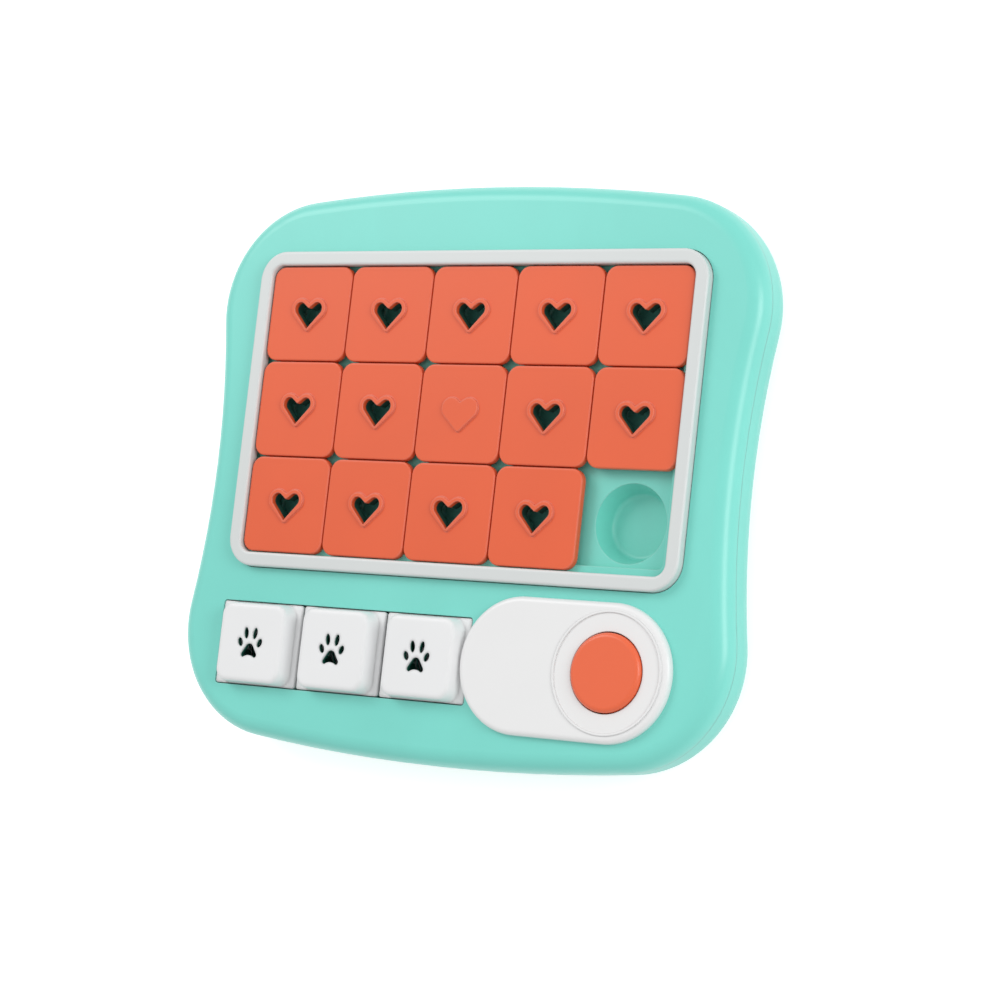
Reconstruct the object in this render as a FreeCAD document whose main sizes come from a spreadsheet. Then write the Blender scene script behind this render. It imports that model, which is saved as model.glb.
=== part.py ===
import FreeCAD, Part
import math
import os
import Sketcher

# A dog puzzle feeder toy that lies flat on four rubber feet, +Z up.
# X runs along the rows of tiles, Y from the key row towards the top row of tiles.
# The origin is under the middle of the body, on the plane that the feet stand on.
# All sizes are in millimetres.
SIZES = {
    # outline of the body: four round lobes joined by two crowns and two waists
    "lobe_x": 82.75,
    "lobe_y": 66.25,
    "lobe_radius": 46.0,
    "waist_dip": 5.25,
    "crown_rise": 4.65,
    # levels above the floor
    "base_z": 2.0,
    "seam_z": 20.0,
    "deck_z": 27.8,
    "floor_z": 24.4,
    "ledge_z": 27.0,
    "frame_top_z": 31.6,
    "key_top_z": 34.3,
    "plate_top_z": 31.1,
    "button_top_z": 33.0,
    # shells
    "shell_wall": 2.4,
    "front_round": 7.0,
    "back_round": 12.0,
    "lip_height": 2.5,
    "lip_gap": 0.1,
    # grid of sliding tiles
    "tile_pitch": 40.0,
    "tile_columns": 5,
    "tile_rows": 3,
    "grid_y": 22.9,
    "tile_play": 0.3,
    "tile_plate": 2.9,
    "tile_base": 2.6,
    "tile_corner": 5.0,
    "tile_edge_round": 0.6,
    "tile_lift": 0.1,
    "tongue_reach": 2.4,
    "tongue_length": 28.0,
    "tongue_drop": 0.3,
    # raised frame round the grid
    "frame_width": 5.8,
    "frame_outer_corner": 12.0,
    "frame_inner_corner": 5.0,
    "frame_bevel": 1.0,
    "frame_gap": 0.3,
    # tray with the treat cups
    "ledge_width": 3.0,
    "base_gap": 0.6,
    "tongue_gap": 0.5,
    "tray_skin": 1.8,
    "well_corner": 2.5,
    "cup_radius": 15.7,
    "cup_floor_radius": 12.9,
    "cup_depth": 9.4,
    "cup_wall": 1.6,
    "cup_round": 2.0,
    "cup_rim_round": 0.4,
    "flange_width": 5.6,
    "well_flange_width": 7.4,
    "flange_thick": 2.0,
    "flange_seat_gap": 0.1,
    "tray_side_flange": 55.0,
    "tray_end_flange": 88.0,
    # heart on each tile
    "heart_lobe_x": 4.15,
    "heart_lobe_y": 2.0,
    "heart_lobe_radius": 4.4,
    "heart_notch_y": 4.5,
    "heart_tip_y": -6.2,
    "heart_tip_radius": 1.3,
    "heart_rim_width": 1.7,
    "heart_rim_height": 0.9,
    "heart_notch_drop": 2.3,
    "heart_tip_rise": 1.0,
    # press keys
    "key_pitch": 41.1,
    "key_row_x": -45.8,
    "key_row_y": -75.0,
    "key_flange_x": 40.0,
    "key_flange_y": 33.9,
    "key_flange_thick": 1.6,
    "key_flange_drop": 0.2,
    "key_flange_corner": 1.0,
    "key_face_x": 31.6,
    "key_face_y": 32.0,
    "key_foot_x": 34.6,
    "key_foot_y": 33.3,
    "key_corner": 5.0,
    "key_edge_round": 1.5,
    "key_wall": 2.0,
    "key_skirt": 4.0,
    "key_skirt_inset": 1.6,
    "key_gap": 0.4,
    "paw_tube_radius": 9.2,
    "paw_tube_bore": 7.6,
    "paw_tube_z": 24.0,
    # paw-shaped hole
    "toe_outer_x": 4.85,
    "toe_outer_y": 0.0,
    "toe_outer_long": 1.9,
    "toe_outer_short": 1.25,
    "toe_inner_x": 2.25,
    "toe_inner_y": 3.8,
    "toe_inner_long": 2.35,
    "toe_inner_short": 1.2,
    "pad_top_y": -0.4,
    "pad_top_radius": 2.3,
    "pad_lobe_x": 2.9,
    "pad_lobe_y": -5.0,
    "pad_lobe_radius": 1.1,
    "pad_notch_radius": 4.0,
    # tub under the keys
    "well_floor_z": 9.0,
    "well_wall": 1.8,
    "well_rib": 1.2,
    "well_rib_z": 20.5,
    "collar_radius": 7.3,
    "collar_bore": 6.1,
    "collar_height": 3.0,
    "well_flange_left": -100.0,
    "well_flange_right": 12.0,
    # key springs
    "spring_radius": 8.35,
    "spring_wire": 1.0,
    "spring_turns": 5,
    "spring_seat": 0.05,
    # plate and squeaker button
    "plate_radius": 27.0,
    "plate_left_x": 40.0,
    "plate_right_x": 80.0,
    "plate_y": -75.0,
    "plate_edge_round": 2.2,
    "button_radius": 15.3,
    "button_gap": 0.45,
    "button_round": 1.9,
    "button_wall": 2.0,
    "button_flange_radius": 18.4,
    "button_flange_thick": 1.6,
    "button_flange_gap": 0.2,
    "ring_radius": 24.0,
    "ring_width": 1.0,
    "ring_height": 0.45,
    "peg_radius": 2.2,
    "peg_length": 5.5,
    "peg_x": 52.0,
    "peg_spread": 17.0,
    "peg_gap": 0.15,
    # squeaker under the button
    "bellows_radius": 11.4,
    "bellows_fold": 2.2,
    "bellows_folds": 4,
    "bellows_wall": 1.1,
    "bellows_gap": 0.1,
    "reed_radius": 4.0,
    "reed_bore": 1.6,
    "reed_height": 4.0,
    "socket_radius": 12.0,
    "socket_wall": 1.6,
    "socket_height": 4.0,
    # screws and their posts, placed from the middles of the lobes
    "top_post_out": 12.25,
    "top_post_up": 30.75,
    "side_post_out": 29.25,
    "side_post_up": 18.25,
    "bottom_post_in": 32.75,
    "bottom_post_down": 39.75,
    "crown_post_up": 39.25,
    "post_radius": 4.8,
    "post_bore": 1.8,
    "pilot_radius": 1.2,
    "pilot_depth": 7.0,
    "head_room_radius": 3.4,
    "head_room_depth": 12.0,
    "clamp_radius": 2.1,
    "clamp_gap": 0.2,
    "clamp_pilot": 0.9,
    "screw_radius": 1.2,
    "screw_length": 11.5,
    "screw_head_radius": 2.9,
    "screw_head_height": 2.0,
    "clamp_screw_radius": 0.85,
    "clamp_screw_length": 3.0,
    "clamp_head_radius": 2.6,
    "clamp_head_height": 1.4,
    # feet, placed from the middles of the lobes
    "foot_in_x": 2.75,
    "foot_in_y": 0.25,
    "foot_radius": 8.0,
    "foot_recess": 1.0,
    "foot_gap": 0.1,
    "foot_round": 0.8,
}

document = FreeCAD.newDocument("DogPuzzleFeeder")
sheet = document.addObject("Spreadsheet::Sheet", "Sizes")
for row, (alias, number) in enumerate(SIZES.items(), start=1):
    sheet.set(f"A{row}", alias)
    sheet.set(f"B{row}", str(number))
    sheet.setAlias(f"B{row}", alias)
document.recompute()


class Size:
    """A length that knows its number and the sheet formula that it comes from."""

    def __init__(self, number, formula):
        self.number = number
        self.formula = formula

    def __add__(self, other):
        other = as_size(other)
        return Size(self.number + other.number, f"({self.formula} + {other.formula})")

    def __sub__(self, other):
        other = as_size(other)
        return Size(self.number - other.number, f"({self.formula} - {other.formula})")

    def __mul__(self, other):
        other = as_size(other)
        return Size(self.number * other.number, f"({self.formula} * {other.formula})")

    def __truediv__(self, other):
        other = as_size(other)
        return Size(self.number / other.number, f"({self.formula} / {other.formula})")

    def __neg__(self):
        return Size(-self.number, f"(0 - {self.formula})")


def as_size(value):
    """Turn a plain number into a Size."""
    return value if isinstance(value, Size) else Size(float(value), repr(float(value)))


def cell(alias):
    """The size in the sheet cell of that name."""
    return Size(float(sheet.get(alias)), f"Sizes.{alias}")


ZERO = as_size(0)
WALL = cell("shell_wall")
DECK_UNDER = cell("deck_z") - WALL
FRAME_HALF_X = cell("tile_pitch") * cell("tile_columns") / 2 + cell("tile_play")
FRAME_HALF_Y = cell("tile_pitch") * cell("tile_rows") / 2 + cell("tile_play")
RING_HALF_X = FRAME_HALF_X + cell("frame_width")
RING_HALF_Y = FRAME_HALF_Y + cell("frame_width")
TILE_HALF = cell("tile_pitch") / 2 - cell("tile_play")
TILE_BOTTOM = cell("floor_z") + cell("tile_lift")
FLANGE_TOP = DECK_UNDER - cell("flange_seat_gap")
FLANGE_BOTTOM = FLANGE_TOP - cell("flange_thick")
KEYS_HALF_X = cell("key_pitch") + cell("key_flange_x") / 2 + cell("key_gap")
KEYS_HALF_Y = cell("key_flange_y") / 2 + cell("key_gap")
KEY_FLANGE_TOP = cell("deck_z") - cell("key_flange_drop")
KEY_FLANGE_BOTTOM = KEY_FLANGE_TOP - cell("key_flange_thick")
BUTTON_FLANGE_TOP = DECK_UNDER - cell("button_flange_gap")
SHELL_FLOOR = cell("base_z") + WALL


# Sketch helpers

def new_body(label):
    """An empty body with its own label."""
    body = document.addObject("PartDesign::Body", label)
    body.Label = label
    return body


def new_sketch(body, height):
    """A sketch parallel to the floor, at a height, on the body's own origin plane."""
    sketch = body.newObject("Sketcher::SketchObject", body.Name + "_sketch")
    plane = next(item for item in body.Origin.OriginFeatures if item.Role == "XY_Plane")
    sketch.AttachmentSupport = (plane, [""])
    sketch.MapMode = "FlatFace"
    sketch.AttachmentOffset = FreeCAD.Placement(FreeCAD.Vector(0, 0, height.number), FreeCAD.Rotation())
    sketch.setExpression("AttachmentOffset.Base.z", height.formula)
    return sketch


def constrain(sketch, rules):
    """Add rules (kind, places, size or None) and tie the sized ones to the sheet."""
    built = []
    for kind, places, size in rules:
        if size is None:
            built.append(Sketcher.Constraint(kind, *places))
        else:
            built.append(Sketcher.Constraint(kind, *places, size.number))
    rows = sketch.addConstraint(built)
    for row, (_kind, _places, size) in zip(rows, rules):
        if size is not None:
            sketch.setExpression(f"Constraints[{row}]", size.formula)


def draw_circle(sketch, x, y, radius):
    """A circle at a place."""
    middle = FreeCAD.Vector(x.number, y.number, 0)
    index = sketch.addGeometry(Part.Circle(middle, FreeCAD.Vector(0, 0, 1), radius.number), False)
    constrain(sketch, [("Radius", (index,), radius),
                       ("DistanceX", (-1, 1, index, 3), x),
                       ("DistanceY", (-1, 1, index, 3), y)])


def draw_arc(sketch, middle_x, middle_y, radius, start, end):
    """An unconstrained arc, anticlockwise between two angles in radians."""
    circle = Part.Circle(FreeCAD.Vector(middle_x, middle_y, 0), FreeCAD.Vector(0, 0, 1), radius)
    return sketch.addGeometry(Part.ArcOfCircle(circle, start, end), False)


def draw_line(sketch, first, last):
    """An unconstrained line between two (x, y) points."""
    return sketch.addGeometry(Part.LineSegment(FreeCAD.Vector(*first, 0), FreeCAD.Vector(*last, 0)), False)


def draw_rectangle(sketch, left, right, bottom, top, corner):
    """A rectangle with round corners."""
    x0, x1, y0, y1, r = (size.number for size in (left, right, bottom, top, corner))
    lines = [draw_line(sketch, (x0 + r, y0), (x1 - r, y0)), draw_line(sketch, (x1, y0 + r), (x1, y1 - r)),
             draw_line(sketch, (x1 - r, y1), (x0 + r, y1)), draw_line(sketch, (x0, y1 - r), (x0, y0 + r))]
    middles = [(x1 - r, y0 + r), (x1 - r, y1 - r), (x0 + r, y1 - r), (x0 + r, y0 + r)]
    arcs = []
    for number, (x, y) in enumerate(middles):
        start = (number - 1) * math.pi / 2
        arcs.append(draw_arc(sketch, x, y, r, start, start + math.pi / 2))
    rules = []
    for number in range(4):
        rules.append(("Tangent", (lines[number], 2, arcs[number], 1), None))
        rules.append(("Tangent", (arcs[number], 2, lines[(number + 1) % 4], 1), None))
    rules += [("Horizontal", (lines[0],), None), ("Vertical", (lines[1],), None)]
    rules += [("Equal", (arcs[0], arcs[number]), None) for number in (1, 2, 3)]
    rules += [("Radius", (arcs[0],), corner),
              ("DistanceX", (-1, 1, lines[3], 1), left), ("DistanceX", (-1, 1, lines[1], 1), right),
              ("DistanceY", (-1, 1, lines[0], 1), bottom), ("DistanceY", (-1, 1, lines[2], 1), top)]
    constrain(sketch, rules)


def draw_centred_rectangle(sketch, half_x, half_y, corner, x=ZERO, y=ZERO):
    """A rectangle with round corners about a centre."""
    draw_rectangle(sketch, x - half_x, x + half_x, y - half_y, y + half_y, corner)


def draw_stadium(sketch, left, right, y, radius):
    """Two half circles joined by straight sides."""
    x0, x1, middle, r = (size.number for size in (left, right, y, radius))
    right_arc = draw_arc(sketch, x1, middle, r, -math.pi / 2, math.pi / 2)
    top = draw_line(sketch, (x1, middle + r), (x0, middle + r))
    left_arc = draw_arc(sketch, x0, middle, r, math.pi / 2, 3 * math.pi / 2)
    bottom = draw_line(sketch, (x0, middle - r), (x1, middle - r))
    constrain(sketch, [("Tangent", (right_arc, 2, top, 1), None), ("Tangent", (top, 2, left_arc, 1), None),
                       ("Tangent", (left_arc, 2, bottom, 1), None), ("Tangent", (bottom, 2, right_arc, 1), None),
                       ("Radius", (right_arc,), radius),
                       ("DistanceX", (-1, 1, right_arc, 3), right), ("DistanceY", (-1, 1, right_arc, 3), y),
                       ("DistanceX", (-1, 1, left_arc, 3), left), ("DistanceY", (-1, 1, left_arc, 3), y)])


def draw_body_outline(sketch, inset):
    """The toy's outline, drawn in by an inset: lobes, crowns and waists, tangent to each other."""
    lobe_x = cell("lobe_x")
    lobe_y = cell("lobe_y")
    lobe = cell("lobe_radius") - inset
    width = lobe_x + cell("lobe_radius") - cell("waist_dip") - inset
    length = lobe_y + cell("lobe_radius") + cell("crown_rise") - inset
    rise = length - lobe_y
    crown = (lobe_x * lobe_x + rise * rise - lobe * lobe) / ((rise - lobe) * 2)
    dip = width - lobe_x
    waist = (dip * dip + lobe_y * lobe_y - lobe * lobe) / ((lobe - dip) * 2)
    crown_y = length.number - crown.number
    waist_x = width.number + waist.number
    crown_angle = math.atan2(lobe_y.number - crown_y, lobe_x.number)
    waist_angle = math.atan2(lobe_y.number, waist_x - lobe_x.number)
    lobe_start = -waist_angle
    lobe_end = crown_angle
    x, y, r = lobe_x.number, lobe_y.number, lobe.number
    turn = math.pi
    right_top = draw_arc(sketch, x, y, r, lobe_start, lobe_end)
    top = draw_arc(sketch, 0, crown_y, crown.number, crown_angle, turn - crown_angle)
    left_top = draw_arc(sketch, -x, y, r, turn - lobe_end, turn - lobe_start)
    left = draw_arc(sketch, -waist_x, 0, waist.number, -waist_angle, waist_angle)
    left_bottom = draw_arc(sketch, -x, -y, r, turn + lobe_start, turn + lobe_end)
    bottom = draw_arc(sketch, 0, -crown_y, crown.number, turn + crown_angle, 2 * turn - crown_angle)
    right_bottom = draw_arc(sketch, x, -y, r, -lobe_end, -lobe_start)
    right = draw_arc(sketch, waist_x, 0, waist.number, turn - waist_angle, turn + waist_angle)
    joins = [(right_top, 2, top, 1), (top, 2, left_top, 1), (left_top, 2, left, 2), (left, 1, left_bottom, 1),
             (left_bottom, 2, bottom, 1), (bottom, 2, right_bottom, 1), (right_bottom, 2, right, 2),
             (right, 1, right_top, 1)]
    rules = [("Tangent", join, None) for join in joins]
    rules += [("Radius", (right_top,), lobe)]
    rules += [("Equal", (right_top, other), None) for other in (left_top, left_bottom, right_bottom)]
    rules += [("Radius", (top,), crown), ("Radius", (bottom,), crown)]
    rules += [("Radius", (left,), waist), ("Radius", (right,), waist)]
    for arc, sign_x, sign_y in ((right_top, 1, 1), (left_top, -1, 1), (left_bottom, -1, -1), (right_bottom, 1, -1)):
        rules += [("DistanceX", (-1, 1, arc, 3), lobe_x * sign_x), ("DistanceY", (-1, 1, arc, 3), lobe_y * sign_y)]
    constrain(sketch, rules)


def draw_heart(sketch, inset, notch_drop, tip_rise):
    """A heart: two lobes, straight sides to a round tip, and a notch between the lobes."""
    lobe_x = cell("heart_lobe_x")
    lobe_y = cell("heart_lobe_y")
    lobe = cell("heart_lobe_radius") - inset
    tip = cell("heart_tip_radius") - tip_rise
    tip_y = cell("heart_tip_y")
    notch_y = cell("heart_notch_y") - notch_drop
    cx, cy, r = lobe_x.number, lobe_y.number, lobe.number
    side = math.atan2(cy - tip_y.number, cx) - math.acos((tip.number - r) / math.hypot(cx, cy - tip_y.number))
    reach = math.hypot(cx, notch_y.number - cy)
    brow = math.atan2(notch_y.number - cy, -cx) % (2 * math.pi) - math.acos(r / reach)
    side_low = (tip.number * math.cos(side), tip_y.number + tip.number * math.sin(side))
    side_high = (cx + r * math.cos(side), cy + r * math.sin(side))
    brow_end = (cx + r * math.cos(brow), cy + r * math.sin(brow))
    notch = (0.0, notch_y.number)
    turn = math.pi
    tip_arc = draw_arc(sketch, 0, tip_y.number, tip.number, turn - side, 2 * turn + side)
    right_side = draw_line(sketch, side_low, side_high)
    right_lobe = draw_arc(sketch, cx, cy, r, side, brow)
    right_brow = draw_line(sketch, brow_end, notch)
    left_brow = draw_line(sketch, notch, (-brow_end[0], brow_end[1]))
    left_lobe = draw_arc(sketch, -cx, cy, r, turn - brow, turn - side)
    left_side = draw_line(sketch, (-side_high[0], side_high[1]), (-side_low[0], side_low[1]))
    constrain(sketch, [
        ("Tangent", (tip_arc, 2, right_side, 1), None), ("Tangent", (right_side, 2, right_lobe, 1), None),
        ("Tangent", (right_lobe, 2, right_brow, 1), None), ("Coincident", (right_brow, 2, left_brow, 1), None),
        ("Tangent", (left_brow, 2, left_lobe, 1), None), ("Tangent", (left_lobe, 2, left_side, 1), None),
        ("Tangent", (left_side, 2, tip_arc, 1), None),
        ("Radius", (right_lobe,), lobe), ("Equal", (right_lobe, left_lobe), None),
        ("DistanceX", (-1, 1, right_lobe, 3), lobe_x), ("DistanceY", (-1, 1, right_lobe, 3), lobe_y),
        ("DistanceX", (-1, 1, left_lobe, 3), -lobe_x), ("DistanceY", (-1, 1, left_lobe, 3), lobe_y),
        ("Radius", (tip_arc,), tip), ("PointOnObject", (tip_arc, 3, -2), None),
        ("DistanceY", (-1, 1, tip_arc, 3), tip_y),
        ("PointOnObject", (right_brow, 2, -2), None), ("DistanceY", (-1, 1, right_brow, 2), notch_y)])


# Feature helpers

def settle(feature):
    """Rebuild the document and see that this feature worked."""
    document.recompute()
    if {"Invalid", "Error"} & set(feature.State) or feature.Shape.isNull():
        raise RuntimeError(f"{feature.Name} failed: {feature.getStatusString()}")
    return feature


def pad(body, sketch, length):
    """Add the sketch's area, pulled up by a length."""
    feature = body.newObject("PartDesign::Pad", body.Name + "_pad")
    feature.Profile = sketch
    feature.setExpression("Length", length.formula)
    return settle(feature)


def pocket(body, sketch, length, upwards=False):
    """Cut the sketch's area, downwards or upwards by a length, and see that it cuts."""
    before = body.Shape.Volume
    feature = body.newObject("PartDesign::Pocket", body.Name + "_pocket")
    feature.Profile = sketch
    feature.setExpression("Length", length.formula)
    feature.Reversed = upwards
    settle(feature)
    if body.Shape.Volume > before - 0.001:
        raise RuntimeError(f"{feature.Name} in {body.Label} cuts nothing")
    return feature


def loft(body, kind, low, high):
    """Add or cut a loft between two sketches."""
    feature = body.newObject("PartDesign::" + kind, body.Name + "_loft")
    feature.Profile = low
    feature.Sections = [high]
    return settle(feature)


def round_edges(body, radius, wanted):
    """Round the edges that a test picks, on the body as it stands."""
    feature = body.newObject("PartDesign::Fillet", body.Name + "_fillet")
    base = feature.BaseFeature or body.Tip
    names = [f"Edge{number}" for number, edge in enumerate(base.Shape.Edges, start=1) if wanted(edge)]
    feature.Base = (base, names)
    feature.setExpression("Radius", radius.formula)
    return settle(feature)


def hollow(body, open_z, wall):
    """Hollow the body out to a wall, open at the flat face of a height."""
    base = body.Tip
    faces = [f"Face{number}" for number, face in enumerate(base.Shape.Faces, start=1)
             if abs(face.BoundBox.ZMin - open_z.number) < 0.01 and face.BoundBox.ZLength < 0.01]
    feature = body.newObject("PartDesign::Thickness", body.Name + "_hollow")
    feature.Base = (base, faces)
    feature.Reversed = True
    feature.setExpression("Value", wall.formula)
    return settle(feature)


def widen(feature, slope):
    """Let a pad or pocket grow wider along its length, by a slope."""
    feature.setExpression("TaperAngle", f"atan({slope.formula})")
    return settle(feature)


def at_height(height):
    """A test for flat edges at a height."""
    def wanted(edge):
        box = edge.BoundBox
        return abs(box.ZMin - height.number) < 0.01 and abs(box.ZMax - height.number) < 0.01
    return wanted


# Shells

def make_front_shell():
    """Deck and rounded edge, open underneath, with its three openings, lip and screw bosses."""
    body = new_body("front_shell")
    sketch = new_sketch(body, cell("seam_z"))
    draw_body_outline(sketch, ZERO)
    pad(body, sketch, cell("deck_z") - cell("seam_z"))
    round_edges(body, cell("front_round"), at_height(cell("deck_z")))
    hollow(body, cell("seam_z"), WALL)
    sketch = new_sketch(body, cell("seam_z") - cell("lip_height"))
    draw_body_outline(sketch, WALL / 2 + cell("lip_gap"))
    draw_body_outline(sketch, WALL)
    pad(body, sketch, cell("lip_height"))
    sketch = new_sketch(body, cell("seam_z"))
    for x, y in post_places():
        draw_circle(sketch, x, y, cell("post_radius"))
    pad(body, sketch, DECK_UNDER - cell("seam_z") + WALL / 2)
    sketch = new_sketch(body, FLANGE_BOTTOM)
    for x, y in clamp_places():
        draw_circle(sketch, x, y, cell("clamp_radius"))
    pad(body, sketch, DECK_UNDER - FLANGE_BOTTOM + WALL / 2)
    sketch = new_sketch(body, cell("deck_z"))
    draw_centred_rectangle(sketch, RING_HALF_X + cell("frame_gap"), RING_HALF_Y + cell("frame_gap"),
                           cell("frame_outer_corner") + cell("frame_gap"), y=cell("grid_y"))
    draw_centred_rectangle(sketch, KEYS_HALF_X, KEYS_HALF_Y, cell("key_flange_corner") + cell("key_gap"),
                           cell("key_row_x"), cell("key_row_y"))
    draw_circle(sketch, cell("plate_right_x"), cell("plate_y"), cell("button_radius") + cell("button_gap"))
    for x, y in peg_places():
        draw_circle(sketch, x, y, cell("peg_radius") + cell("peg_gap"))
    pocket(body, sketch, WALL * 2)
    sketch = new_sketch(body, cell("seam_z"))
    for x, y in post_places():
        draw_circle(sketch, x, y, cell("pilot_radius"))
    pocket(body, sketch, cell("pilot_depth") - WALL / 2, upwards=True)
    sketch = new_sketch(body, FLANGE_BOTTOM)
    for x, y in clamp_places():
        draw_circle(sketch, x, y, cell("clamp_pilot"))
    pocket(body, sketch, cell("flange_thick") + WALL / 2, upwards=True)
    return body


def clamp_places():
    """Where the small screws hold the flanges of the tray and of the key well."""
    side_x = RING_HALF_X + cell("flange_width") / 2 + cell("frame_gap")
    end_y = RING_HALF_Y + cell("flange_width") / 2 + cell("frame_gap")
    grid_y = cell("grid_y")
    places = []
    for sign in (-1, 1):
        for spread in (-1, 1):
            places.append((side_x * sign, grid_y + cell("tray_side_flange") * 0.8 * spread))
            places.append((cell("tray_end_flange") * 0.8 * spread, grid_y + end_y * sign))
        head_room = cell("well_wall") + cell("clamp_head_radius") + cell("clamp_gap")
        row_y = cell("key_row_y") + (KEYS_HALF_Y + head_room) * sign
        places.append((cell("well_flange_left") + cell("well_flange_width"), row_y))
        places.append((cell("well_flange_right") - cell("well_flange_width"), row_y))
    return places


def peg_places():
    """Where the plate's pegs go through the deck."""
    return [(cell("peg_x"), cell("plate_y") + cell("peg_spread") * sign) for sign in (-1, 1)]


def post_places():
    """The middles of the seven screw posts, in the room outside the tray and the key well."""
    lobe_x, lobe_y = cell("lobe_x"), cell("lobe_y")
    places = [(ZERO, lobe_y + cell("crown_post_up"))]
    for sign in (-1, 1):
        places += [((lobe_x + cell("top_post_out")) * sign, lobe_y + cell("top_post_up")),
                   ((lobe_x + cell("side_post_out")) * sign, cell("side_post_up") - lobe_y),
                   ((lobe_x - cell("bottom_post_in")) * sign, -lobe_y - cell("bottom_post_down"))]
    return places


def foot_places():
    """The middles of the four feet."""
    x, y = cell("lobe_x") - cell("foot_in_x"), cell("lobe_y") - cell("foot_in_y")
    return [(x * sign_x, y * sign_y) for sign_y in (-1, 1) for sign_x in (-1, 1)]


def make_back_shell():
    """Tub whose edge curves in to a flat back, with screw posts, foot recesses and the squeaker socket."""
    body = new_body("back_shell")
    sketch = new_sketch(body, cell("base_z"))
    draw_body_outline(sketch, ZERO)
    pad(body, sketch, cell("seam_z") - cell("base_z"))
    round_edges(body, cell("back_round"), at_height(cell("base_z")))
    hollow(body, cell("seam_z"), WALL)
    sketch = new_sketch(body, cell("seam_z"))
    draw_body_outline(sketch, WALL / 2)
    pocket(body, sketch, cell("lip_height") + cell("lip_gap") * 2)
    sketch = new_sketch(body, SHELL_FLOOR - WALL / 2)
    for x, y in post_places():
        draw_circle(sketch, x, y, cell("post_radius") - cell("lip_gap") * 2)
    pad(body, sketch, cell("seam_z") - SHELL_FLOOR + WALL / 2)
    sketch = new_sketch(body, SHELL_FLOOR - WALL / 2)
    draw_circle(sketch, cell("plate_right_x"), cell("plate_y"), cell("socket_radius") + cell("socket_wall"))
    draw_circle(sketch, cell("plate_right_x"), cell("plate_y"), cell("socket_radius"))
    pad(body, sketch, cell("socket_height") + WALL / 2)
    sketch = new_sketch(body, cell("base_z"))
    for x, y in post_places():
        draw_circle(sketch, x, y, cell("head_room_radius"))
    pocket(body, sketch, cell("head_room_depth"), upwards=True)
    sketch = new_sketch(body, cell("base_z"))
    for x, y in post_places():
        draw_circle(sketch, x, y, cell("post_bore"))
    pocket(body, sketch, cell("seam_z") - cell("base_z"), upwards=True)
    sketch = new_sketch(body, cell("base_z"))
    for x, y in foot_places():
        draw_circle(sketch, x, y, cell("foot_radius") + cell("foot_gap"))
    pocket(body, sketch, cell("foot_recess"), upwards=True)
    return body


# Sliding grid

def make_grid_frame():
    """Raised ring round the grid, bevelled inside and out, which holds the tiles' tongues down."""
    body = new_body("grid_frame")
    sketch = new_sketch(body, cell("ledge_z"))
    draw_centred_rectangle(sketch, RING_HALF_X, RING_HALF_Y, cell("frame_outer_corner"), y=cell("grid_y"))
    draw_centred_rectangle(sketch, FRAME_HALF_X, FRAME_HALF_Y, cell("frame_inner_corner"), y=cell("grid_y"))
    pad(body, sketch, cell("frame_top_z") - cell("ledge_z"))
    round_edges(body, cell("frame_bevel"), at_height(cell("frame_top_z")))
    return body


def make_cup_tray():
    """Tray with a treat cup under each place of the grid, ledges for the tiles and clamped flanges."""
    body = new_body("cup_tray")
    grid_y = cell("grid_y")
    skin_z = cell("floor_z") - cell("tray_skin")
    sketch = new_sketch(body, skin_z)
    draw_centred_rectangle(sketch, RING_HALF_X, RING_HALF_Y, cell("frame_outer_corner"), y=grid_y)
    pad(body, sketch, cell("ledge_z") - skin_z)
    reach = cell("flange_width") + cell("frame_gap")
    for half_x, half_y in ((RING_HALF_X + reach, cell("tray_side_flange")),
                           (cell("tray_end_flange"), RING_HALF_Y + reach)):
        sketch = new_sketch(body, FLANGE_BOTTOM)
        draw_centred_rectangle(sketch, half_x, half_y, cell("well_corner"), y=grid_y)
        pad(body, sketch, cell("flange_thick"))
    room = cell("tongue_reach") + cell("tongue_gap") - cell("tile_play") * 2
    sketch = new_sketch(body, cell("ledge_z"))
    draw_rectangle(sketch, -FRAME_HALF_X - room, FRAME_HALF_X - cell("ledge_width"),
                   grid_y - FRAME_HALF_Y + cell("ledge_width"), grid_y + FRAME_HALF_Y + room, cell("well_corner"))
    pocket(body, sketch, cell("ledge_z") - cell("floor_z"))
    slope = (cell("cup_radius") - cell("cup_floor_radius")) / cell("cup_depth")
    cup_bottom = cell("floor_z") - cell("cup_depth")
    under = cup_bottom - cell("cup_wall")
    sketch = new_sketch(body, under)
    for x, y in grid_places():
        draw_circle(sketch, x, y, cell("cup_floor_radius") + cell("cup_wall") - slope * cell("cup_wall"))
    widen(pad(body, sketch, skin_z - under), slope)
    sketch = new_sketch(body, cup_bottom)
    for x, y in grid_places():
        draw_circle(sketch, x, y, cell("cup_floor_radius"))
    widen(pocket(body, sketch, cell("cup_depth"), upwards=True), slope)
    round_edges(body, cell("cup_round"), at_height(cup_bottom))
    sketch = new_sketch(body, FLANGE_BOTTOM)
    for x, y in clamp_places():
        if y.number > grid_y.number - RING_HALF_Y.number - reach.number:
            draw_circle(sketch, x, y, cell("clamp_radius") + cell("clamp_gap"))
    pocket(body, sketch, cell("flange_thick"), upwards=True)
    return body


def grid_places():
    """The middles of all the places of the grid, row by row from the top left."""
    pitch = cell("tile_pitch")
    columns, rows = cell("tile_columns"), cell("tile_rows")
    return [(pitch * (as_size(column) - (columns + 1) / 2), cell("grid_y") + pitch * ((rows + 1) / 2 - row))
            for row in range(1, int(rows.number) + 1) for column in range(1, int(columns.number) + 1)]


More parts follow.
